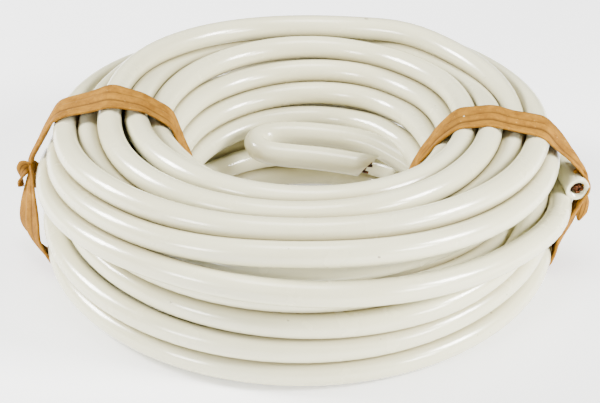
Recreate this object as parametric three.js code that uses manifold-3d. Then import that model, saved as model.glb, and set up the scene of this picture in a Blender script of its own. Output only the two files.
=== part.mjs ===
// A coil of thick single-core primary wire, lying flat, held by two paper-covered wire ties.
// Millimetres, +Z up. The origin is on the floor, on the axis of the coil.
// Azimuths are in degrees, counter-clockwise from +X seen from above; the front faces -Y.
import * as THREE from "three";
import { mergeVertices } from "three/addons/utils/BufferGeometryUtils.js";
import Module from "manifold-3d";

const wasm = await Module();
wasm.setup();

// The wire: a soft plastic jacket over a stranded copper conductor.
const WIRE_DIAMETER = 4.7;
const CONDUCTOR_DIAMETER = 2.6;
const CONDUCTOR_BORE = 3.1;
const CONDUCTOR_DEPTH = 12;
const CONDUCTOR_RECESS = 0.5;
const WIRE_SIDES = 12;

// The wound ring. Its section is flat on top, falls steeply to the bore and leans in at the rim.
const BORE_RADIUS = 20.4;
const COIL_RADIUS = 51.5;
const COIL_HEIGHT = 31.5;
const BASE_CHAMFER = 2.6;
const RIM_INSET = 8.4;
const RIM_DROP = 9.2;
const THROAT_INSET = 9.2;
const THROAT_DROP = 13.5;
const COIL_SEGMENTS = 48;
const CREST_ANGLE = 22; // half the flat that stands for a strand's crest
const GROOVE_DEPTH = 1.4;

// The ties.
const TIE_WIDTH = 8.4;
const TIE_THICKNESS = 0.7;
const TIE_SLACK = 2.1; // how far a tie stands off the coil's outer side
const TWIST_LENGTH = 6.5;
const TWIST_WIDTH = 2.4;
const TWIST_THICKNESS = 1.5;
const TWIST_TURN = 270;
const TIP_LENGTH = 6;
const TIP_WIDTH = 2.2;
const TIP_SPREAD = 24;
const KNOT_HEIGHT = 20;

// The gap between pieces that touch.
const CLEARANCE = 0.3;

const JACKET = new THREE.MeshStandardMaterial({ color: 0xe6e6dc, roughness: 0.38, metalness: 0 });
const COPPER = new THREE.MeshStandardMaterial({ color: 0x4a2a18, roughness: 0.6, metalness: 0.8 });
const PAPER = new THREE.MeshStandardMaterial({ color: 0xc99a5b, roughness: 0.85, metalness: 0 });

const radians = THREE.MathUtils.degToRad;
const wireRadius = WIRE_DIAMETER / 2;

// Solids.

function solidOf(geometry) {
  const bare = geometry.clone();
  bare.deleteAttribute("normal");
  bare.deleteAttribute("uv");
  const merged = mergeVertices(bare, 1e-4);
  return new wasm.Manifold(
    new wasm.Mesh({
      numProp: 3,
      vertProperties: merged.attributes.position.array,
      triVerts: new Uint32Array(merged.index.array),
    }),
  );
}

function geometryOf(solid) {
  const mesh = solid.getMesh();
  const geometry = new THREE.BufferGeometry();
  geometry.setAttribute("position", new THREE.BufferAttribute(mesh.vertProperties, 3));
  geometry.setIndex(new THREE.BufferAttribute(mesh.triVerts, 1));
  geometry.computeVertexNormals();
  return geometry;
}

function piece(name, solid, material) {
  const mesh = new THREE.Mesh(geometryOf(solid), material);
  mesh.name = name;
  return mesh;
}

// A straight round rod from one point towards a direction.
function rod(start, direction, radius, length) {
  const geometry = new THREE.CylinderGeometry(radius, radius, length, WIRE_SIDES);
  const turn = new THREE.Quaternion().setFromUnitVectors(
    new THREE.Vector3(0, 1, 0),
    direction.clone().normalize(),
  );
  geometry.translate(0, length / 2, 0);
  geometry.applyQuaternion(turn);
  geometry.translate(start.x, start.y, start.z);
  return solidOf(geometry);
}

// The ring's section: the convex outline that the centres of the outermost strands follow.

function sectionCorners(near, far, low) {
  const high = COIL_HEIGHT - wireRadius;
  return [
    [near + BASE_CHAMFER, low],
    [far - BASE_CHAMFER, low],
    [far, low + BASE_CHAMFER],
    [far, high - RIM_DROP],
    [far - RIM_INSET, high],
    [near + THROAT_INSET, high],
    [near, high - THROAT_DROP],
    [near, low + BASE_CHAMFER],
  ].map(([radius, height]) => new THREE.Vector2(radius, height));
}

function strandPath() {
  const corners = sectionCorners(BORE_RADIUS + wireRadius, COIL_RADIUS - wireRadius, wireRadius);
  const path = new THREE.Path();
  path.moveTo((corners[0].x + corners[1].x) / 2, corners[0].y);
  for (const corner of corners.slice(1)) path.lineTo(corner.x, corner.y);
  path.lineTo(corners[0].x, corners[0].y);
  path.closePath();
  return path;
}

// Each outermost strand shows as a crest, with a groove between it and the next.
function coilProfile() {
  const path = strandPath();
  const strands = Math.round(path.getLength() / WIRE_DIAMETER);
  const crest = radians(CREST_ANGLE);
  const reach = wireRadius / Math.cos(crest);
  const points = [];
  for (let i = 0; i < strands; i++) {
    const centre = path.getPointAt(i / strands);
    const along = path.getTangentAt(i / strands);
    const outward = Math.atan2(-along.x, along.y);
    for (const angle of [outward - crest, outward + crest])
      points.push(
        new THREE.Vector2(
          centre.x + reach * Math.cos(angle),
          centre.y + reach * Math.sin(angle),
        ),
      );
    const middle = path.getPointAt((i + 0.5) / strands);
    const way = path.getTangentAt((i + 0.5) / strands);
    const groove = wireRadius - GROOVE_DEPTH;
    points.push(new THREE.Vector2(middle.x + way.y * groove, middle.y - way.x * groove));
  }
  points.push(points[0].clone());
  return points;
}

function coilRing() {
  const geometry = new THREE.LatheGeometry(coilProfile(), COIL_SEGMENTS);
  geometry.rotateX(radians(90));
  return solidOf(geometry);
}

// The wire's two free ends, each as the points that its centre follows:
// [azimuth, outset from the ring's outer side, drop from its top].
const OUTER_END_POINTS = [
  [25, -2.0, 12.4],
  [17, -1.4, 12.6],
  [9, -0.7, 12.9],
  [1, -0.3, 13.2],
  [-4.5, -0.1, 13.4],
  [-9.3, 1.3, 13.7],
];

// [azimuth, inset from the bore's wall, height above the floor].
const INNER_END_POINTS = [
  [18.5, -2.0, 15.2],
  [28, 0.4, 15.2],
  [41, 1.4, 15.1],
  [57, 1.9, 15.0],
  [73, 2.0, 15.0],
  [90, 2.1, 15.0],
  [104, 2.2, 15.0],
  [116, 2.3, 15.0],
  [125, 3.6, 15.0],
  [124.5, 6.2, 14.9],
  [108, 8.4, 14.6],
  [69, 9.5, 14.2],
  [33, 3.4, 13.9],
];

function polar(azimuth, radius, height) {
  return new THREE.Vector3(
    radius * Math.cos(radians(azimuth)),
    radius * Math.sin(radians(azimuth)),
    height,
  );
}

function outerEndCurve() {
  const place = ([azimuth, outset, drop]) =>
    polar(azimuth, COIL_RADIUS + outset, COIL_HEIGHT - drop);
  return new THREE.CatmullRomCurve3(OUTER_END_POINTS.map(place));
}

function innerEndCurve() {
  const place = ([azimuth, inset, height]) => polar(azimuth, BORE_RADIUS - inset, height);
  return new THREE.CatmullRomCurve3(INNER_END_POINTS.map(place));
}

function tubeAlong(curve, radius) {
  const circle = new THREE.Shape();
  circle.absarc(0, 0, radius, 0, Math.PI * 2);
  const steps = Math.ceil(curve.getLength() / WIRE_DIAMETER) * 2;
  const geometry = new THREE.ExtrudeGeometry(circle, {
    extrudePath: curve,
    steps,
    curveSegments: WIRE_SIDES,
    bevelEnabled: false,
  });
  return solidOf(geometry);
}

// The cut face of a free end, and the way back into the wire from it.
function cutOf(curve) {
  return { at: curve.getPointAt(1), inward: curve.getTangentAt(1).negate() };
}

function freeEnd(curve) {
  const cut = cutOf(curve);
  const before = cut.at.clone().addScaledVector(cut.inward, -1);
  const bore = rod(before, cut.inward, CONDUCTOR_BORE / 2, CONDUCTOR_DEPTH + 1);
  return tubeAlong(curve, wireRadius).subtract(bore);
}

function conductor(curve) {
  const cut = cutOf(curve);
  const start = cut.at.clone().addScaledVector(cut.inward, CONDUCTOR_RECESS);
  const length = CONDUCTOR_DEPTH - CONDUCTOR_RECESS - CLEARANCE;
  return rod(start, cut.inward, CONDUCTOR_DIAMETER / 2, length);
}

// A tie: a flat band drawn tight round the ring's section, in the plane of one azimuth.

// A flat band meets the curved bore at its two edges first.
const tieInside = Math.sqrt(BORE_RADIUS ** 2 - (TIE_WIDTH / 2) ** 2);

// Draws the outline that lies a set distance outside a ring of convex corners.
function outlineAround(shape, corners, reach) {
  const count = corners.length;
  for (let i = 0; i < count; i++) {
    const before = corners[i].clone().sub(corners[(i + count - 1) % count]);
    const after = corners[(i + 1) % count].clone().sub(corners[i]);
    const from = before.angle() - Math.PI / 2;
    const turned = (after.angle() - before.angle() + 2 * Math.PI) % (2 * Math.PI);
    shape.absarc(corners[i].x, corners[i].y, reach, from, from + turned);
  }
  shape.closePath();
  return shape;
}

function tieOutline(shape, grow) {
  const reach = wireRadius + CLEARANCE;
  const corners = sectionCorners(
    tieInside + wireRadius,
    COIL_RADIUS + TIE_SLACK - reach,
    TIE_THICKNESS + reach,
  );
  return outlineAround(shape, corners, reach + grow);
}

function extruded(shape, depth) {
  const geometry = new THREE.ExtrudeGeometry(shape, {
    depth,
    curveSegments: 6,
    bevelEnabled: false,
  });
  geometry.translate(0, 0, -depth / 2);
  return geometry;
}

// A shape drawn in (radius, height), extruded across the azimuth's plane.
function uprightAcross(shape, width) {
  const geometry = extruded(shape, width);
  geometry.rotateX(radians(90));
  return solidOf(geometry);
}

// The tie's two ends twisted round each other, with two flat tips left over.
function twist() {
  const geometry = new THREE.BoxGeometry(TWIST_WIDTH, TWIST_THICKNESS, TWIST_LENGTH, 1, 1, 8);
  geometry.translate(0, 0, TWIST_LENGTH / 2);
  const position = geometry.attributes.position;
  const point = new THREE.Vector3();
  const axis = new THREE.Vector3(0, 0, 1);
  for (let i = 0; i < position.count; i++) {
    point.fromBufferAttribute(position, i);
    point.applyAxisAngle(axis, (radians(TWIST_TURN) * point.z) / TWIST_LENGTH);
    position.setXYZ(i, point.x, point.y, point.z);
  }
  return solidOf(geometry);
}

function tip(spread) {
  const ribbon = new THREE.BoxGeometry(TIP_WIDTH, TIE_THICKNESS, TIP_LENGTH);
  ribbon.translate(0, 0, TIP_LENGTH / 2);
  ribbon.rotateY(radians(spread));
  ribbon.translate(0, 0, TWIST_LENGTH - TIE_THICKNESS);
  return solidOf(ribbon);
}

// The twist lies folded down against the band's outer side.
function knot() {
  const made = twist().add(tip(-TIP_SPREAD)).add(tip(TIP_SPREAD));
  const geometry = geometryOf(made);
  geometry.rotateX(radians(180));
  geometry.rotateZ(radians(90));
  geometry.translate(
    COIL_RADIUS + TIE_SLACK + TIE_THICKNESS + TWIST_THICKNESS / 4,
    0,
    KNOT_HEIGHT,
  );
  return solidOf(geometry);
}

function tie(azimuth) {
  const outline = tieOutline(new THREE.Shape(), TIE_THICKNESS);
  outline.holes.push(tieOutline(new THREE.Path(), 0));
  const band = uprightAcross(outline, TIE_WIDTH);
  return band.add(knot()).rotate([0, 0, azimuth]);
}

// Cuts away the room that the wire's free ends take.
function clearOfEnds(solid, curves) {
  const room = curves.map((curve) => tubeAlong(curve, wireRadius + CLEARANCE));
  return room.reduce((left, tube) => left.subtract(tube), solid);
}

// What the ring gives way to: a tie draws its underside in, so that the coil lies flat.
function tieNotch(azimuth) {
  const length = COIL_RADIUS + WIRE_DIAMETER;
  const block = new THREE.BoxGeometry(length, TIE_WIDTH + 2 * CLEARANCE, COIL_HEIGHT);
  block.translate(length / 2, 0, 0);
  const inside = tieOutline(new THREE.Shape(), -CLEARANCE);
  const held = uprightAcross(inside, TIE_WIDTH + 4 * CLEARANCE);
  return solidOf(block).subtract(held).rotate([0, 0, azimuth]);
}

// The whole part.

const TIE_AZIMUTHS = { left_tie: 177, right_tie: -6 };

const outerCurve = outerEndCurve();
const innerCurve = innerEndCurve();

const endCurves = [outerCurve, innerCurve];

let ring = clearOfEnds(coilRing(), endCurves);
for (const azimuth of Object.values(TIE_AZIMUTHS)) ring = ring.subtract(tieNotch(azimuth));

const coil = new THREE.Group();
coil.add(piece("wire_coil", ring, JACKET));
coil.add(piece("outer_wire_end", freeEnd(outerCurve), JACKET));
coil.add(piece("inner_wire_end", freeEnd(innerCurve), JACKET));
coil.add(piece("outer_conductor", conductor(outerCurve), COPPER));
coil.add(piece("inner_conductor", conductor(innerCurve), COPPER));
for (const [name, azimuth] of Object.entries(TIE_AZIMUTHS))
  coil.add(piece(name, clearOfEnds(tie(azimuth), endCurves), PAPER));

export default coil;
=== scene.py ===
"""Dressed model of a coil of primary wire held by two paper ties.

The wire is one tube: it starts as a hairpin in the bore, fills the coil turn by turn
and ends at the cut end beside the right tie. Sizes in the tables are in wire diameters,
measured from the coil's own axis and the floor; meshes are in metres.
"""
import math
import random

import bmesh
import bpy
import numpy as np
from mathutils import Matrix, Vector


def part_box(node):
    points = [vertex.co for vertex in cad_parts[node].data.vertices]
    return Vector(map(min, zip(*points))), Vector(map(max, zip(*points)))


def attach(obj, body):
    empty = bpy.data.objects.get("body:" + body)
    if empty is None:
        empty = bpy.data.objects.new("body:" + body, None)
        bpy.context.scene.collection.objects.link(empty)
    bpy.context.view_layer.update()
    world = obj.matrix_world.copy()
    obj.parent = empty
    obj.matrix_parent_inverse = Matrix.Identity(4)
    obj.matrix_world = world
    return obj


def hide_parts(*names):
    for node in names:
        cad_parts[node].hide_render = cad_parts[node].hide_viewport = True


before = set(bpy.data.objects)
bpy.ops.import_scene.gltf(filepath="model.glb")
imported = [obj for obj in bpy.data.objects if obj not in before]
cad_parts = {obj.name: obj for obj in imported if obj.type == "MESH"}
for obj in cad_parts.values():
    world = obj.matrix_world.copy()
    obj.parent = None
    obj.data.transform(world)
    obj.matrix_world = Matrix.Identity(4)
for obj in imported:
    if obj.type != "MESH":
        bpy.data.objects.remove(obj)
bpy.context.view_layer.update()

bl_info = {
    "name": "Primary wire coil",
    "version": (1, 0, 0),
    "blender": (4, 5, 0),
    "location": "View3D > Sidebar > Wire coil",
    "description": "Builds a coil of jacketed primary wire with its two paper ties",
    "category": "Object",
}

BODY = "root"
COIL_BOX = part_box("wire_coil")
AXIS = Vector(((COIL_BOX[0].x + COIL_BOX[1].x) / 2, (COIL_BOX[0].y + COIL_BOX[1].y) / 2, 0.0))

# The photograph's camera, in wire diameters and pixels of its 600 x 403 frame.
FRAME_SIZE = (600, 403)
CAMERA_ELEVATION = math.radians(30.5)
CAMERA_DISTANCE = 78.0
CAMERA_HEIGHT_OF_AIM = 3.0
AIM_PIXEL = (302.0, 184.0)
FOCAL_PIXELS = 1880.0
SENSOR_WIDTH = 36.0
VIEW_UP = Vector((0.0, math.sin(CAMERA_ELEVATION), math.cos(CAMERA_ELEVATION)))

# Azimuths, anticlockwise from +X seen from above.
RIGHT_TIE = math.radians(-6)
LEFT_TIE = math.radians(177)

# The winding, in degrees turned clockwise from the right tie.
STATION_STEP = 4.0
STATIONS_A_TURN = int(360 / STATION_STEP)
WINDING_START = -24.0
WINDING_END = -30.0
SECTION_TURNS = (0.0, 84.0, 177.0, 264.0)
RELAX_STEPS = 700
# How firmly a turn keeps to its place while the turns are pushed apart.
CORE_HOLD = 0.02
SKIN_HOLD = 0.3
END_HOLD = 0.2
# Height of the centre of a turn that lies on the floor.
FLOOR_CONTACT = 0.5
# Stations left off each end of the winding, where a free end takes over.
HANDOVER = 5

# Turns hidden in the middle of the coil: (radius, height) at the front and at the back.
CORE_TURNS = (
    ((5.85, 2.4), (5.9, 2.3)),
    ((5.85, 3.5), (6.5, 2.95)),
    ((6.5, 4.45), (7.2, 3.7)),
    ((6.75, 3.3), (7.3, 2.6)),
    ((6.75, 2.2), (6.7, 1.9)),
    ((6.8, 1.3), (6.3, 1.35)),
    ((7.7, 1.5), (7.3, 1.45)),
    ((7.65, 2.6), (8.0, 2.2)),
    ((7.6, 3.7), (8.1, 3.3)),
    ((7.6, 4.8), (8.0, 4.3)),
    ((8.6, 4.6), (8.95, 3.9)),
    ((8.6, 3.5), (8.9, 2.9)),
    ((8.6, 2.5), (8.7, 1.9)),
)

# Turns that show, in winding order: (radius, height) at the right tie, the front,
# the left tie and the back.
SKIN_TURNS = {
    "sunk": ((8.9, 2.6), (9.35, 3.5), (9.35, 3.9), (9.5, 2.1)),
    "side": ((9.65, 3.2), (9.65, 2.55), (9.45, 2.8), (9.6, 3.2)),
    "belt": ((10.4, 2.95), (10.2, 4.42), (10.38, 3.75), (10.5, 2.72)),
    "low": ((9.8, 2.0), (9.8, 1.54), (10.3, 2.05), (10.35, 1.73)),
    "foot": ((9.95, 0.8), (9.9, 0.55), (10.15, 0.95), (9.95, 0.82)),
    "heel": ((9.0, 1.35), (8.85, 0.95), (9.2, 0.64), (9.0, 0.5)),
    "base_1": ((8.8, 0.64), (7.9, 0.5), (8.2, 0.64), (8.0, 0.5)),
    "base_2": ((7.8, 0.64), (6.9, 0.5), (7.2, 0.64), (7.0, 0.5)),
    "base_3": ((6.8, 0.64), (5.9, 0.5), (6.2, 0.64), (6.0, 0.5)),
    "base_4": ((5.8, 0.64), (5.0, 0.7), (5.2, 0.68), (5.0, 0.6)),
    "throat_1": ((5.15, 1.3), (4.85, 1.7), (5.45, 1.6), (4.9, 1.65)),
    "throat_2": ((5.1, 2.3), (4.8, 2.7), (5.4, 2.6), (5.88, 3.04)),
    "throat_3": ((5.15, 3.4), (4.95, 3.7), (5.4, 3.6), (6.55, 3.77)),
    "throat_4": ((5.4, 4.4), (5.3, 4.6), (5.55, 4.5), (7.22, 4.54)),
    "crown_0": ((5.9, 5.25), (5.85, 5.45), (5.98, 5.3), (7.9, 5.32)),
    "crown_1": ((6.7, 5.95), (6.6, 6.25), (6.62, 6.0), (8.8, 4.97)),
    "crown_2": ((7.65, 6.1), (7.6, 6.18), (7.85, 6.15), (8.6, 6.06)),
    "crown_3": ((8.55, 5.75), (8.1, 5.05), (8.85, 5.8), (9.6, 5.5)),
    "crown_4": ((9.5, 5.7), (8.6, 6.15), (9.55, 5.5), (10.1, 4.65)),
    "crown_5": ((10.05, 4.8), (9.5, 5.82), (10.02, 4.62), (10.5, 3.72)),
}
# Places between those sections that a turn swerves through: (turn, degrees turned, place).
SWERVES = (
    ("belt", 130.0, (10.2, 4.72)),
    ("belt", 40.0, (10.3, 3.8)),
    ("crown_5", 130.0, (9.8, 5.25)),
    ("crown_4", 130.0, (9.0, 6.0)),
    ("sunk", 130.0, (9.5, 3.7)),
    ("side", 140.0, (9.5, 3.0)),
    ("crown_5", 210.0, (9.6, 4.55)),
    ("crown_4", 206.0, (9.2, 5.5)),
    ("belt", 206.0, (10.1, 3.6)),
    ("crown_0", 156.0, (5.5, 5.8)),
    ("crown_1", 145.0, (6.45, 6.32)),
)
OUTER_TURN_END = (10.55, 4.0)

# Free ends of the wire, as (x, y, height), and their routes' spacing.
END_SPACING = 0.2
INNER_END_ROUTE = (
    (2.42, 1.97, 2.8),
    (0.85, 2.2, 2.95),
    (-1.25, 2.33, 3.12),
    (-1.85, 2.55, 3.15),
    (-2.1, 3.15, 3.19),
    (-1.85, 3.73, 3.19),
    (-1.25, 3.98, 3.19),
    (0.0, 4.0, 3.19),
    (1.1, 3.8, 3.19),
    (2.3, 3.45, 3.19),
    (3.4, 2.85, 3.1),
)
OUTER_END_ROUTE = (
    (10.3, 2.7, 4.0),
    (10.6, 1.2, 3.97),
    (10.85, -0.3, 3.9),
    (11.15, -1.8, 3.8),
)
WIRE_SIDES = 24

# The cuts: how slanted the inner one is, the width of a cut inside its rounded rim, and in
# metres the depth of the bore, the strands' length and how far the inner ones stand out.
INNER_CUT_SLANT = 0.8
CUT_LIP = 0.93
CUT_DEPTH = 0.004
STRAND_LENGTH = 0.003
INNER_STRANDS_OUT = 0.0012
STRAND_RINGS = ((0, 1), (1, 6), (2, 12))

# The ties: where a tie is, the places (radius, height) off the winding that it also passes
# round, how far it has drifted forward at the floor, how it tilts below the knot and where
# it is knotted.
TIES = {
    "left_tie": {
        "azimuth": LEFT_TIE,
        "also_round": ((10.6, 3.75), (10.62, 2.6), (10.6, 1.5)),
        "drift": 2.5,
        "tilt": 0.7,
        "knot_height": 3.42,
    },
    "right_tie": {
        "azimuth": RIGHT_TIE,
        "also_round": ((10.85, 4.3), (10.75, 3.2)),
        "drift": 0.35,
        "tilt": 0.15,
        "knot_height": 4.2,
    },
}
# The strip of a tie: how finely it is drawn, the share of its length over which it narrows
# to the knot, its width there, and where its ridge and the creases beside it lie across it.
BAND_STEPS = 220
BAND_COLUMNS = 18
BAND_LANES = 33
KNOT_SHARE = 0.12
KNOT_WIDTH = 0.28
RIDGE_AT = -0.05
CREASE_AT = 0.31
TIP_STEPS = 45
TIP_COLUMNS = 6
TIP_THICKNESS = 0.09

# The loose ends of each tie, as (out, across, height) in diameters, with half widths,
# turns of twist and the angle that the twist starts at.
LEFT_TIPS = (
    (((11.15, 0.0, 3.75), (11.6, 0.05, 3.45), (11.72, 0.1, 3.0), (11.75, 0.15, 2.6)),
     (0.26, 0.32, 0.26, 0.14), 0.6, 0.3),
    (((11.15, 0.0, 3.65), (11.35, -0.15, 3.0), (11.1, -0.3, 2.4), (10.95, -0.5, 2.0)),
     (0.26, 0.2, 0.16, 0.1), 0.8, 1.2),
)
RIGHT_TIPS = (
    (((11.2, -0.1, 4.5), (11.5, -0.15, 4.1), (11.55, -0.2, 3.5), (11.5, -0.25, 3.0)),
     (0.24, 0.22, 0.2, 0.18), 1.1, 0.4),
    (((11.5, -0.2, 3.4), (11.52, -0.25, 3.05), (11.5, -0.3, 2.65), (11.45, -0.32, 2.2)),
     (0.2, 0.28, 0.22, 0.02), 0.2, 0.6),
)

# What the base colours are mixed with. The colours for the grooves and the creases are painted
# shade.
JACKET_CLOUDS = (0.6, 0.56, 0.35)
# painted shade between neighbouring turns and where a turn meets the floor
JACKET_GROOVE_SHADE = (0.3, 0.255, 0.13)
JACKET_SPECKS = (0.2, 0.16, 0.1)
COPPER_TARNISH = (0.02, 0.01, 0.006)
PAPER_PULP = (0.17, 0.07, 0.005)
PAPER_STAINS = (0.1, 0.042, 0.004)
PAPER_FLECKS = (0.4, 0.22, 0.05)
# painted shade along the creases of a tie
PAPER_CREASE_SHADE = (0.07, 0.028, 0.003)

# The studio, in metres and watts: (name, place, side, power) of each soft light.
SOFTBOXES = (
    ("softbox_left", (-0.46, 0.08, 0.3), 0.16, 9.0),
    ("softbox_right", (0.42, -0.16, 0.28), 0.14, 8.0),
    ("softbox_front_left", (-0.42, -0.42, 0.2), 0.14, 3.2),
    ("softbox_front_right", (0.46, -0.4, 0.2), 0.14, 3.2),
    ("softbox_top", (0.0, 0.0, 0.7), 0.3, 3.5),
)
SKY_STRENGTH = 0.14
FLOOR_GLOW = 0.5
FLOOR_HALF_SIDE = 3.0


def wire_diameter():
    return bpy.context.scene.wire_coil_sizes.wire_diameter


def to_metres(points):
    """Points in wire diameters from the coil's axis, as metres in the frame."""
    return np.asarray(points, float) * wire_diameter() + np.array(AXIS)


class WireCoilSizes(bpy.types.PropertyGroup):
    wire_diameter: bpy.props.FloatProperty(
        name="Wire diameter", description="Outside diameter of the jacket",
        default=0.0047, min=0.001, max=0.02, unit="LENGTH", precision=5)
    bore_diameter: bpy.props.FloatProperty(
        name="Jacket bore", description="Diameter of the hole that the conductor lies in",
        default=0.0031, min=0.0005, max=0.018, unit="LENGTH", precision=5)
    conductor_recess: bpy.props.FloatProperty(
        name="Conductor recess", description="How far the conductor ends behind the cut jacket",
        default=0.0006, min=0.0, max=0.01, unit="LENGTH", precision=5)
    tie_width: bpy.props.FloatProperty(
        name="Tie width", description="Width of the paper strip of a tie",
        default=0.0084, min=0.002, max=0.03, unit="LENGTH", precision=5)
    tie_thickness: bpy.props.FloatProperty(
        name="Tie thickness", description="Thickness of the folded paper of a tie",
        default=0.0005, min=0.0001, max=0.003, unit="LENGTH", precision=5)


class WireCoilColours(bpy.types.PropertyGroup):
    jacket: bpy.props.FloatVectorProperty(
        name="Jacket", description="Colour of the wire's jacket", subtype="COLOR",
        default=(0.67, 0.645, 0.44), min=0.0, max=1.0)
    copper: bpy.props.FloatVectorProperty(
        name="Copper", description="Colour of the conductor's strands", subtype="COLOR",
        default=(0.2, 0.065, 0.02), min=0.0, max=1.0)
    paper: bpy.props.FloatVectorProperty(
        name="Paper", description="Colour of the kraft paper of the ties", subtype="COLOR",
        default=(0.29, 0.132, 0.01), min=0.0, max=1.0)
    floor: bpy.props.FloatVectorProperty(
        name="Floor", description="Colour of the floor", subtype="COLOR",
        default=(0.9, 0.9, 0.9), min=0.0, max=1.0)


# Materials


def new_material(name):
    material = bpy.data.materials.new(name)
    material.use_nodes = True
    shader = material.node_tree.nodes["Principled BSDF"]
    return material, material.node_tree, shader


def noise(tree, scale, detail, coordinates, roughness=0.5):
    """A noise texture on the given coordinates."""
    texture = tree.nodes.new("ShaderNodeTexNoise")
    texture.inputs["Scale"].default_value = scale
    texture.inputs["Detail"].default_value = detail
    texture.inputs["Roughness"].default_value = roughness
    tree.links.new(coordinates, texture.inputs["Vector"])
    return texture.outputs["Fac"]


def ranged(tree, value, low, high, to_low=0.0, to_high=1.0):
    """Maps a value's range onto another and holds it there."""
    node = tree.nodes.new("ShaderNodeMapRange")
    node.inputs["From Min"].default_value = low
    node.inputs["From Max"].default_value = high
    node.inputs["To Min"].default_value = to_low
    node.inputs["To Max"].default_value = to_high
    tree.links.new(value, node.inputs["Value"])
    return node.outputs["Result"]


def blended(tree, mask, under, over):
    """Lays a colour over another by a mask; each is a colour or a socket."""
    node = tree.nodes.new("ShaderNodeMix")
    node.data_type = "RGBA"
    tree.links.new(mask, node.inputs["Factor"])
    for socket, colour in ((node.inputs["A"], under), (node.inputs["B"], over)):
        if isinstance(colour, bpy.types.NodeSocket):
            tree.links.new(colour, socket)
        else:
            socket.default_value = (*colour, 1)
    return node.outputs["Result"]


def bumped(tree, shader, height, strength, distance):
    node = tree.nodes.new("ShaderNodeBump")
    node.inputs["Strength"].default_value = strength
    node.inputs["Distance"].default_value = distance
    tree.links.new(height, node.inputs["Height"])
    tree.links.new(node.outputs["Normal"], shader.inputs["Normal"])


def jacket_material():
    material, tree, shader = new_material("wire_jacket")
    coordinates = tree.nodes.new("ShaderNodeTexCoord").outputs["Object"]
    painted_groove_shade = tree.nodes.new("ShaderNodeAttribute")
    painted_groove_shade.attribute_name = "painted_groove_shade"
    colour = tuple(bpy.context.scene.wire_coil_colours.jacket)
    clouds = ranged(tree, noise(tree, 45, 3, coordinates), 0.35, 0.65, 0.0, 0.5)
    colour = blended(tree, clouds, colour, JACKET_CLOUDS)
    # Painted shade: the jacket darkens where the next turn or the floor is close.
    groove_shade_mask = ranged(tree, painted_groove_shade.outputs["Fac"], 0.1, 1.0, 0.0, 0.85)
    colour = blended(tree, groove_shade_mask, colour, JACKET_GROOVE_SHADE)
    specks = ranged(tree, noise(tree, 620, 2, coordinates), 0.755, 0.79, 0.0, 0.75)
    colour = blended(tree, specks, colour, JACKET_SPECKS)
    tree.links.new(colour, shader.inputs["Base Color"])
    gloss = ranged(tree, noise(tree, 160, 4, coordinates), 0.3, 0.7, 0.17, 0.3)
    tree.links.new(gloss, shader.inputs["Roughness"])
    shader.inputs["IOR"].default_value = 1.5
    shader.inputs["Coat Weight"].default_value = 0.6
    shader.inputs["Coat Roughness"].default_value = 0.16
    grain = noise(tree, 2600, 3, coordinates, roughness=0.7)
    bumped(tree, shader, grain, 0.35, 0.00006)
    return material


def copper_material():
    material, tree, shader = new_material("copper_strand")
    coordinates = tree.nodes.new("ShaderNodeTexCoord").outputs["Object"]
    bright = tuple(bpy.context.scene.wire_coil_colours.copper)
    tarnish = ranged(tree, noise(tree, 1500, 3, coordinates), 0.33, 0.55)
    tree.links.new(blended(tree, tarnish, bright, COPPER_TARNISH), shader.inputs["Base Color"])
    shader.inputs["Metallic"].default_value = 0.8
    shader.inputs["Roughness"].default_value = 0.45
    return material


def paper_material():
    material, tree, shader = new_material("kraft_paper")
    coordinates = tree.nodes.new("ShaderNodeTexCoord").outputs["Object"]
    colour = tuple(bpy.context.scene.wire_coil_colours.paper)
    pulp = noise(tree, 420, 8, coordinates, roughness=0.7)
    colour = blended(tree, ranged(tree, pulp, 0.38, 0.62), colour, PAPER_PULP)
    stains = noise(tree, 70, 4, coordinates)
    colour = blended(tree, ranged(tree, stains, 0.5, 0.75, 0.0, 0.6), colour, PAPER_STAINS)
    flecks = ranged(tree, noise(tree, 1500, 3, coordinates), 0.66, 0.74, 0.0, 0.7)
    colour = blended(tree, flecks, colour, PAPER_FLECKS)
    # Painted shade: a dark band along the creases beside the ridge.
    across = tree.nodes.new("ShaderNodeAttribute")
    across.attribute_name = "across"
    crease_shade_mask = tree.nodes.new("ShaderNodeMath")
    crease_shade_mask.operation = "MULTIPLY"
    tree.links.new(ranged(tree, across.outputs["Fac"], 0.18, 0.3), crease_shade_mask.inputs[0])
    tree.links.new(ranged(tree, across.outputs["Fac"], 0.3, 0.48, 1.0, 0.0), crease_shade_mask.inputs[1])
    colour = blended(tree, crease_shade_mask.outputs["Value"], colour, PAPER_CREASE_SHADE)
    tree.links.new(colour, shader.inputs["Base Color"])
    shader.inputs["Roughness"].default_value = 0.82
    shader.inputs["Specular IOR Level"].default_value = 0.15
    bumped(tree, shader, pulp, 0.7, 0.00018)
    return material


def floor_material():
    material, tree, shader = new_material("pale_floor")
    shader.inputs["Base Color"].default_value = (*bpy.context.scene.wire_coil_colours.floor, 1)
    shader.inputs["Roughness"].default_value = 0.9
    shader.inputs["Emission Color"].default_value = (1, 1, 1, 1)
    shader.inputs["Emission Strength"].default_value = FLOOR_GLOW
    return material


# The winding


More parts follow.
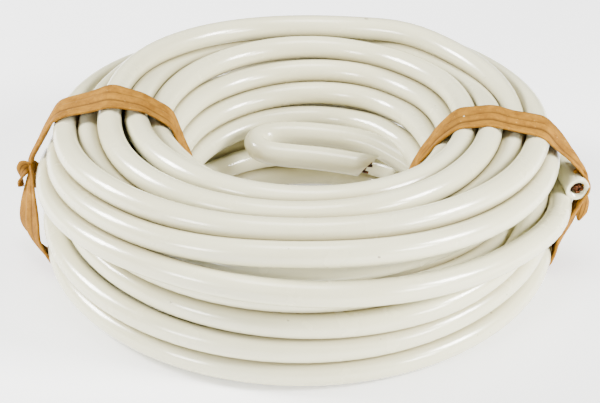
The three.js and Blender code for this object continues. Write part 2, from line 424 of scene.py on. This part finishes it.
def section_targets():
    """Where each station of the winding would lie, and how firmly it is held there."""
    rows = []
    for front, back in CORE_TURNS:
        rows.append(((front, front, front, back), CORE_HOLD))
    for places in SKIN_TURNS.values():
        rows.append((places, SKIN_HOLD))
    turned, places, holds = [], [], []
    for number, (sections, hold) in enumerate(rows):
        for angle, place in zip(SECTION_TURNS, sections):
            turned.append(number * 360 + angle)
            places.append(place)
            holds.append(hold)
    turned.append(len(rows) * 360.0)
    places.append(OUTER_TURN_END)
    holds.append(END_HOLD)
    names = list(SKIN_TURNS)
    for name, angle, place in SWERVES:
        at = (len(CORE_TURNS) + names.index(name)) * 360 + angle
        spot = int(np.searchsorted(turned, at))
        turned.insert(spot, at)
        places.insert(spot, place)
        holds.insert(spot, SKIN_HOLD)
    stations = np.arange(WINDING_START, len(rows) * 360 + WINDING_END + 0.1, STATION_STEP)
    places = np.array(places)
    goal = np.stack([np.interp(stations, turned, places[:, i]) for i in (0, 1)], axis=1)
    hold = np.interp(stations, turned, holds)
    for _ in range(12):
        goal[1:-1] = (goal[:-2] + 2 * goal[1:-1] + goal[2:]) / 4
    return stations, goal, hold[:, None]


def wound_section():
    """The stations of the winding, pushed apart until no two turns overlap."""
    stations, goal, hold = section_targets()
    count = len(stations)
    turns = math.ceil(count / STATIONS_A_TURN)
    whole = turns * STATIONS_A_TURN
    place = np.full((whole, 2), 1e3)
    place[:count] = goal
    place[count:, 0] += np.arange(whole - count) * 10
    live = place[:count]
    itself = np.arange(turns)
    for step in range(RELAX_STEPS):
        planes = place.reshape(turns, STATIONS_A_TURN, 2)
        gap = planes[:, None] - planes[None, :]
        distance = np.sqrt((gap ** 2).sum(-1)) + 1e-9
        overlap = np.clip(1 - distance, 0, None)
        overlap[itself, itself] = 0
        push = (gap / distance[..., None] * overlap[..., None]).sum(1) * 0.45
        place += push.reshape(whole, 2)
        fade = min(1.0, max(0.0, (0.8 - step / RELAX_STEPS) / 0.3))
        live += (goal - live) * hold * (0.25 + 0.75 * fade) * 0.5
        live[1:-1] += ((live[:-2] + live[2:]) / 2 - live[1:-1]) * 0.35
        live[:, 1] = np.maximum(live[:, 1], FLOOR_CONTACT)
    return stations, live


def smooth_route(points, spacing):
    """A centripetal curve through the points, sampled every spacing."""
    points = [np.array(p, float) for p in points]
    points = [2 * points[0] - points[1]] + points + [2 * points[-1] - points[-2]]
    route = []
    for p0, p1, p2, p3 in zip(points, points[1:], points[2:], points[3:]):
        knots = [0.0]
        for a, b in ((p0, p1), (p1, p2), (p2, p3)):
            knots.append(knots[-1] + math.sqrt(np.linalg.norm(b - a)))
        t0, t1, t2, t3 = knots
        steps = max(1, round(np.linalg.norm(p2 - p1) / spacing))
        for i in range(steps):
            t = t1 + (t2 - t1) * i / steps
            a1 = (t1 - t) / (t1 - t0) * p0 + (t - t0) / (t1 - t0) * p1
            a2 = (t2 - t) / (t2 - t1) * p1 + (t - t1) / (t2 - t1) * p2
            a3 = (t3 - t) / (t3 - t2) * p2 + (t - t2) / (t3 - t2) * p3
            b1 = (t2 - t) / (t2 - t0) * a1 + (t - t0) / (t2 - t0) * a2
            b2 = (t3 - t) / (t3 - t1) * a2 + (t - t1) / (t3 - t1) * a3
            route.append((t2 - t) / (t2 - t1) * b1 + (t - t1) / (t2 - t1) * b2)
    route.append(points[-2])
    return np.array(route)


def line_of(section, stations, number):
    """Where a station of the winding is, as (x, y, height)."""
    azimuth = RIGHT_TIE - math.radians(stations[number])
    radius, height = section[number]
    return np.array([radius * math.cos(azimuth), radius * math.sin(azimuth), height])


def wire_route():
    """The wire's centre line from the cut end in the bore to the outer cut end, in diameters."""
    stations, section = wound_section()
    azimuth = RIGHT_TIE - np.radians(stations)
    radius, height = section.T
    winding = np.stack([radius * np.cos(azimuth), radius * np.sin(azimuth), height], axis=1)
    arriving = [*INNER_END_ROUTE, winding[HANDOVER - 3], winding[HANDOVER]]
    leaving = [winding[-HANDOVER - 1], winding[-3], *OUTER_END_ROUTE]
    lead_in = smooth_route(arriving, END_SPACING)[:-1]
    lead_out = smooth_route(leaving, END_SPACING)[1:]
    route = np.concatenate([lead_in, winding[HANDOVER:-HANDOVER], lead_out])
    eased = len(lead_in) + 12
    for _ in range(8):
        route[1:eased] = (route[:eased - 1] + 2 * route[1:eased] + route[2:eased + 1]) / 4
    return route, section, stations


def tube_mesh(name, route, radius, sides):
    """A round tube along a route in metres, open at both ends."""
    curve = bpy.data.curves.new(name, "CURVE")
    curve.dimensions = "3D"
    curve.twist_mode = "Z_UP"
    curve.bevel_depth = radius
    curve.bevel_resolution = sides // 2 - 2
    curve.use_fill_caps = False
    spline = curve.splines.new("POLY")
    spline.points.add(len(route) - 1)
    flat = np.ones((len(route), 4))
    flat[:, :3] = route
    spline.points.foreach_set("co", flat.ravel())
    holder = bpy.data.objects.new(name, curve)
    mesh = bpy.data.meshes.new_from_object(holder)
    bpy.data.objects.remove(holder)
    bpy.data.curves.remove(curve)
    mesh.name = name
    return mesh


def mark_painted_groove_shade(mesh, section, first_ring, sides):
    """Stores on each vertex how much painted shade it gets: how close the next turn or the floor
    is, from 0 in the open to 1 deep between turns.
    """
    co = np.empty(len(mesh.vertices) * 3)
    mesh.vertices.foreach_get("co", co)
    rings = (co.reshape(-1, sides, 3) - np.array(AXIS)) / wire_diameter()
    painted_groove_shade = np.zeros(rings.shape[:2])
    count = len(section)
    for station in range(HANDOVER, count - HANDOVER):
        ring = rings[first_ring + station - HANDOVER]
        here = np.stack([np.hypot(ring[:, 0], ring[:, 1]), ring[:, 2]], axis=1)
        others = section[station % STATIONS_A_TURN::STATIONS_A_TURN]
        others = others[np.linalg.norm(others - section[station], axis=1) > 0.3]
        gap = np.linalg.norm(here[:, None] - others[None], axis=2).min(axis=1) - 0.5
        # The floor counts as a neighbour, so painted shade also gathers where a turn meets the
        # floor.
        gap = np.minimum(gap, here[:, 1] * 1.5)
        painted_groove_shade[first_ring + station - HANDOVER] = np.clip(1 - gap / 0.35, 0, 1)
    layer = mesh.attributes.new("painted_groove_shade", "FLOAT", "POINT")
    layer.data.foreach_set("value", painted_groove_shade.ravel())


def new_piece(name, mesh, material, slot_name, *replaced):
    """Puts a mesh in the scene as a piece that takes the place of the named CAD nodes."""
    piece = bpy.data.objects.new(name, mesh)
    bpy.context.scene.collection.objects.link(piece)
    mesh.materials.clear()
    mesh.materials.append(material)
    mesh.shade_smooth()
    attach(piece, BODY)
    if replaced:
        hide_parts(*replaced)
    return piece


def mesh_of(work, name):
    bmesh.ops.recalc_face_normals(work, faces=work.faces)
    mesh = bpy.data.meshes.new(name)
    work.to_mesh(mesh)
    work.free()
    return mesh


def conductor_mesh(name, cut, inward, shuffle):
    """A bundle of copper strands whose ends lie a little unevenly behind the cut."""
    sizes = bpy.context.scene.wire_coil_sizes
    strand = sizes.bore_diameter / 11
    turn = inward.to_track_quat("Z", "Y").to_matrix().to_4x4()
    work = bmesh.new()
    for ring, number in STRAND_RINGS:
        for i in range(number):
            angle = 2 * math.pi * (i + 0.5 * (ring % 2)) / number + shuffle.uniform(-0.12, 0.12)
            away = ring * strand * 2.1 + shuffle.uniform(-0.1, 0.1) * strand
            depth = sizes.conductor_recess * shuffle.uniform(0.5, 3.2)
            place = Matrix.Translation(cut) @ turn @ Matrix.Translation(
                (away * math.cos(angle), away * math.sin(angle), depth + STRAND_LENGTH / 2))
            lean = Matrix.Rotation(shuffle.uniform(-0.12, 0.12), 4, "X")
            bmesh.ops.create_cone(work, cap_ends=True, segments=10, radius1=strand,
                                  radius2=strand * 0.98, depth=STRAND_LENGTH,
                                  matrix=place @ lean)
    return mesh_of(work, name)


# The ties


def crossings(line, azimuth, sideways):
    """Where the wire crosses a plane beside an azimuth's, as (distance out, height)."""
    out = np.array([math.cos(azimuth), math.sin(azimuth), 0.0])
    across = np.array([-math.sin(azimuth), math.cos(azimuth), 0.0])
    side = line @ across - sideways
    hit = np.nonzero((side[:-1] * side[1:] <= 0) & (line[:-1] @ out > 4.0))[0]
    part = side[hit] / (side[hit] - side[hit + 1] + 1e-12)
    point = line[hit] + (line[hit + 1] - line[hit]) * part[:, None]
    return np.stack([point @ out, point[:, 2]], axis=1)


def band_outline(places, reach, knot_height):
    """The taut outline round the places, sampled evenly from the knot and back to it."""
    outline = []
    for angle in np.linspace(0, 2 * math.pi, 720, endpoint=False):
        way = np.array([math.cos(angle), math.sin(angle)])
        outline.append(places[np.argmax(places @ way)] + way * reach)
    outline = np.array(outline)
    outline[:, 1] = np.maximum(outline[:, 1], 0.03)
    outer = outline[:, 0] > outline[:, 0].mean()
    start = int(np.argmin(np.abs(outline[:, 1] - knot_height) + 100 * ~outer))
    outline = np.roll(outline, -start, axis=0)
    outline = np.concatenate([outline, outline[:1]])
    run = np.concatenate([[0], np.cumsum(np.linalg.norm(np.diff(outline, axis=0), axis=1))])
    even = np.linspace(0, run[-1], BAND_STEPS + 1)
    outline = np.stack([np.interp(even, run, outline[:, i]) for i in (0, 1)], axis=1)
    for _ in range(4):
        outline[1:-1] = (outline[:-2] + 2 * outline[1:-1] + outline[2:]) / 4
    return outline


def ribbon(name, place, steps, columns, thickness):
    """A paper strip: a grid of steps by columns put where place says, given its thickness.

    Each vertex stores how far across the strip it is from the ridge; this places the painted shade
    along the creases.
    """
    work = bmesh.new()
    bmesh.ops.create_grid(work, x_segments=steps, y_segments=columns, size=1.0)
    across = work.verts.layers.float.new("across")
    for v in work.verts:
        v[across] = abs(v.co.y - RIDGE_AT)
        v.co = place((v.co.x + 1) / 2, v.co.y)
    bmesh.ops.recalc_face_normals(work, faces=work.faces)
    bmesh.ops.solidify(work, geom=work.faces[:] + work.edges[:] + work.verts[:],
                       thickness=thickness)
    return mesh_of(work, name)


def tie_band(name, line, tie, shuffle):
    """The strip round the coil: full width on top, drawn narrow at the knot."""
    unit = wire_diameter()
    sizes = bpy.context.scene.wire_coil_sizes
    half_width = sizes.tie_width / unit / 2
    reach = 0.5 + 0.6 * sizes.tie_thickness / unit
    azimuth = tie["azimuth"]
    out = np.array([math.cos(azimuth), math.sin(azimuth), 0.0])
    across = np.array([-math.sin(azimuth), math.cos(azimuth), 0.0])
    drift = math.copysign(tie["drift"], -across[1])
    on_floor = sizes.tie_thickness / unit + 0.005
    lanes = np.linspace(-half_width - tie["drift"], half_width + tie["drift"], BAND_LANES)
    also = np.array(tie["also_round"])
    outlines = []
    for lane in lanes:
        places = np.concatenate([crossings(line, azimuth, lane), also])
        outlines.append(band_outline(places, reach, tie["knot_height"]))
    outlines = np.array(outlines)
    for _ in range(3):
        outlines[1:-1] = (outlines[:-2] + 2 * outlines[1:-1] + outlines[2:]) / 4
    waves = [(shuffle.uniform(3, 15), shuffle.uniform(0, 6.3), shuffle.uniform(-3, 3))
             for _ in range(9)]
    torn = [(shuffle.uniform(20, 160), shuffle.uniform(0, 6.3)) for _ in range(6)]
    middle = outlines[BAND_LANES // 2]

    def place(u, v):
        step = u * BAND_STEPS
        height = np.interp(step, range(BAND_STEPS + 1), middle[:, 1])
        radius = np.interp(step, range(BAND_STEPS + 1), middle[:, 0])
        from_knot = min(u, 1 - u)
        grown = min(1.0, max(0.0, from_knot / KNOT_SHARE)) ** 0.7
        narrow = KNOT_WIDTH + (1 - KNOT_WIDTH) * grown
        edge = sum(math.sin(f * u + p) for f, p in torn) * 0.0035
        lane = v * half_width * narrow * (1 + edge)
        if radius > 8 and u > 0.5:
            lane += drift * min(1.0, max(0.0, 1 - height / tie["knot_height"]))
        elif height < 0.6:
            lane += drift * (radius - 4.3) / 6.5
        k = (lane - lanes[0]) / (lanes[1] - lanes[0])
        low = int(min(len(lanes) - 2, max(0, math.floor(k))))
        mix = k - low
        i = min(BAND_STEPS - 1, int(step))
        f = step - i
        rows = outlines[low] * (1 - mix) + outlines[low + 1] * mix
        flat = rows[i] * (1 - f) + rows[i + 1] * f
        ahead = rows[min(i + 1, BAND_STEPS)] - rows[max(i - 1, 0)]
        normal = np.array([ahead[1], -ahead[0]]) / (np.linalg.norm(ahead) + 1e-9)
        off_ridge = abs(v - RIDGE_AT)
        lift = 0.1 * math.exp(-(off_ridge / 0.16) ** 2)
        lift -= 0.05 * math.exp(-((off_ridge - CREASE_AT) / 0.1) ** 2)
        lift += 0.05 * v ** 4
        lift += 0.008 * sum(math.sin(w * u * 6.3 + p + q * v) for w, p, q in waves)
        flat = flat + normal * (lift + 0.02)
        flat[1] = max(flat[1], on_floor)
        if u > 0.82 and radius > 8:
            tilt = tie["tilt"] * math.sin(math.pi * (u - 0.82) / 0.18)
            flat[0] -= math.copysign(math.sin(tilt), drift) * v * half_width * narrow
        return Vector(to_metres(out * flat[0] + across * lane + np.array([0, 0, flat[1]])))

    return ribbon(name, place, BAND_STEPS, BAND_COLUMNS, sizes.tie_thickness)


def tie_twist(name, tie, tips):
    """The two ends twisted together beside the band, with the flat tips left over."""
    unit = wire_diameter()
    azimuth = tie["azimuth"]
    out = np.array([math.cos(azimuth), math.sin(azimuth), 0.0])
    across = np.array([-math.sin(azimuth), math.cos(azimuth), 0.0])
    up = np.array([0.0, 0.0, 1.0])
    work = bmesh.new()
    for route, widths, turns, start in tips:
        line = smooth_route([np.array(p) for p in route], 0.08)
        spots = np.linspace(0, len(line) - 1, TIP_STEPS + 1)
        line = np.stack([np.interp(spots, range(len(line)), line[:, i]) for i in range(3)], axis=1)

        def place(u, v):
            step = u * TIP_STEPS
            i = min(TIP_STEPS - 1, int(step))
            at = line[i] + (line[i + 1] - line[i]) * (step - i)
            way = line[min(i + 1, TIP_STEPS)] - line[max(i - 1, 0)]
            way = out * way[0] + across * way[1] + up * way[2]
            way /= np.linalg.norm(way) + 1e-9
            angle = start + 2 * math.pi * turns * u
            first = np.cross(way, out)
            if np.linalg.norm(first) < 0.2:
                first = across.copy()
            first /= np.linalg.norm(first)
            second = np.cross(way, first)
            side = first * math.cos(angle) + second * math.sin(angle)
            top = np.cross(side, way)
            width = np.interp(u, np.linspace(0, 1, len(widths)), widths)
            curl = 0.06 * (1 - v * v) * min(1, width * 3)
            spot = out * at[0] + across * at[1] + up * at[2] + side * v * width + top * curl
            return Vector(to_metres(spot))

        strip = ribbon(name, place, TIP_STEPS + 1, TIP_COLUMNS, TIP_THICKNESS * unit)
        work.from_mesh(strip)
        bpy.data.meshes.remove(strip)
    return mesh_of(work, name)


def close_ends(mesh, ends, bore_radius, depth):
    """Turns each open end of a tube into a cut face with a bore in it.

    A slanted end is drawn out at the side that is up in the photograph.
    """
    work = bmesh.new()
    work.from_mesh(mesh)
    bore_share = 2 * bore_radius / wire_diameter()
    for centre, inward, slant in ends:
        rim = [e for e in work.edges if e.is_boundary
               and (e.verts[0].co - centre).length < wire_diameter()]
        for v in {v for e in rim for v in e.verts}:
            above = (v.co - centre).dot(VIEW_UP) + wire_diameter() / 2
            v.co -= inward * (slant * above)
        for scale, step in ((CUT_LIP, 0.0), (bore_share / CUT_LIP, 0.0), (1.0, depth)):
            grown = bmesh.ops.extrude_edge_only(work, edges=rim)["geom"]
            verts = [v for v in grown if isinstance(v, bmesh.types.BMVert)]
            rim = [e for e in grown if isinstance(e, bmesh.types.BMEdge) and e.is_boundary]
            middle = sum((v.co for v in verts), Vector()) / len(verts)
            for v in verts:
                v.co = middle + (v.co - middle) * scale
            bmesh.ops.translate(work, vec=inward * step, verts=verts)
        bmesh.ops.holes_fill(work, edges=rim)
    bmesh.ops.recalc_face_normals(work, faces=work.faces)
    work.to_mesh(mesh)
    work.free()


class OBJECT_OT_wire_coil_camera(bpy.types.Operator):
    """Place the camera at the photograph's viewing angle"""

    bl_idname = "wire_coil.camera"
    bl_label = "Camera"

    def execute(self, context):
        lens = bpy.data.cameras.new("camera")
        lens.sensor_width = SENSOR_WIDTH
        lens.lens = SENSOR_WIDTH * FOCAL_PIXELS / FRAME_SIZE[0]
        lens.shift_x = (FRAME_SIZE[0] / 2 - AIM_PIXEL[0]) / FRAME_SIZE[0]
        lens.shift_y = -(FRAME_SIZE[1] / 2 - AIM_PIXEL[1]) / FRAME_SIZE[0]
        lens.clip_start = 0.01
        camera = bpy.data.objects.new("camera", lens)
        context.scene.collection.objects.link(camera)
        back = (0.0, -math.cos(CAMERA_ELEVATION), math.sin(CAMERA_ELEVATION))
        eye = np.array(back) * CAMERA_DISTANCE + (0.0, 0.0, CAMERA_HEIGHT_OF_AIM)
        camera.location = to_metres(eye)
        camera.rotation_euler = (math.pi / 2 - CAMERA_ELEVATION, 0.0, 0.0)
        context.scene.camera = camera
        return {"FINISHED"}


class OBJECT_OT_wire_coil_wire(bpy.types.Operator):
    """Wind the wire from the hairpin in the bore to the outer cut end"""

    bl_idname = "wire_coil.wire"
    bl_label = "Wire"

    def execute(self, context):
        sizes = context.scene.wire_coil_sizes
        line, section, stations = wire_route()
        route = to_metres(line)
        mesh = tube_mesh("wire", route, sizes.wire_diameter / 2, WIRE_SIDES)
        first_wound = line_of(section, stations, HANDOVER)
        lead = int(np.argmin(np.linalg.norm(line - first_wound, axis=1)))
        mark_painted_groove_shade(mesh, section, lead, WIRE_SIDES)
        first = Vector(route[0]), Vector(route[3] - route[0]).normalized()
        last = Vector(route[-1]), Vector(route[-4] - route[-1]).normalized()
        ends = ((*first, INNER_CUT_SLANT), (*last, 0.0))
        close_ends(mesh, ends, sizes.bore_diameter / 2, CUT_DEPTH)
        reach = INNER_CUT_SLANT * sizes.wire_diameter / 2 + INNER_STRANDS_OUT
        first = first[0] - first[1] * reach, first[1]
        wire = new_piece("wire", mesh, jacket_material(), "jacket",
                         "wire_coil", "outer_wire_end", "inner_wire_end")
        copper = copper_material()
        cuts = (("inner_strands", first, 3), ("outer_strands", last, 8))
        for name, (cut, inward), seed in cuts:
            bundle = conductor_mesh(name, cut, inward, random.Random(seed))
            node = name.replace("strands", "conductor")
            new_piece(name, bundle, copper, "conductor", node)
        tuple(route[-1])
        return {"FINISHED"}


class OBJECT_OT_wire_coil_ties(bpy.types.Operator):
    """Draw the two paper ties round the coil and twist their ends"""

    bl_idname = "wire_coil.ties"
    bl_label = "Ties"

    def execute(self, context):
        line = wire_route()[0]
        paper = paper_material()
        for number, (name, tie) in enumerate(TIES.items()):
            tips = LEFT_TIPS if name == "left_tie" else RIGHT_TIPS
            band = tie_band(name + "_band", line, tie, random.Random(20 + number))
            new_piece(name + "_band", band, paper, "paper", name)
            new_piece(name + "_ends", tie_twist(name + "_ends", tie, tips), paper, "paper")
        return {"FINISHED"}


class OBJECT_OT_wire_coil_stage(bpy.types.Operator):
    """Lay the pale floor and set the soft studio light"""

    bl_idname = "wire_coil.stage"
    bl_label = "Stage"

    def execute(self, context):
        work = bmesh.new()
        bmesh.ops.create_grid(work, x_segments=1, y_segments=1, size=FLOOR_HALF_SIDE)
        mesh = bpy.data.meshes.new("floor")
        work.to_mesh(mesh)
        work.free()
        floor = bpy.data.objects.new("floor", mesh)
        mesh.materials.append(floor_material())
        context.scene.collection.objects.link(floor)
        world = bpy.data.worlds.new("studio")
        context.scene.world = world
        world.use_nodes = True
        background = world.node_tree.nodes["Background"]
        background.inputs["Color"].default_value = (1, 1, 1, 1)
        background.inputs["Strength"].default_value = SKY_STRENGTH
        for name, place, size, power in SOFTBOXES:
            light = bpy.data.lights.new(name, "AREA")
            light.shape = "SQUARE"
            light.size = size
            light.energy = power
            lamp = bpy.data.objects.new(name, light)
            lamp.location = place
            lamp.rotation_euler = (-Vector(place)).to_track_quat("-Z", "Y").to_euler()
            context.scene.collection.objects.link(lamp)
        return {"FINISHED"}


class VIEW3D_PT_wire_coil(bpy.types.Panel):
    """Lists the pieces of the wire coil"""

    bl_idname = "VIEW3D_PT_wire_coil"
    bl_label = "Wire coil"
    bl_space_type = "VIEW_3D"
    bl_region_type = "UI"
    bl_category = "Wire coil"

    def draw(self, context):
        column = self.layout.column()
        for operator in OPERATORS:
            column.operator(operator.bl_idname)


OPERATORS = (
    OBJECT_OT_wire_coil_camera,
    OBJECT_OT_wire_coil_wire,
    OBJECT_OT_wire_coil_ties,
    OBJECT_OT_wire_coil_stage,
)
CLASSES = (WireCoilSizes, WireCoilColours, *OPERATORS, VIEW3D_PT_wire_coil)


def register():
    for cls in CLASSES:
        bpy.utils.register_class(cls)
    bpy.types.Scene.wire_coil_sizes = bpy.props.PointerProperty(type=WireCoilSizes)
    bpy.types.Scene.wire_coil_colours = bpy.props.PointerProperty(type=WireCoilColours)


def unregister():
    del bpy.types.Scene.wire_coil_colours
    del bpy.types.Scene.wire_coil_sizes
    for cls in reversed(CLASSES):
        bpy.utils.unregister_class(cls)


def main():
    register()
    bpy.ops.wire_coil.camera()
    bpy.ops.wire_coil.wire()
    bpy.ops.wire_coil.ties()
    bpy.ops.wire_coil.stage()


if __name__ == "__main__":
    main()
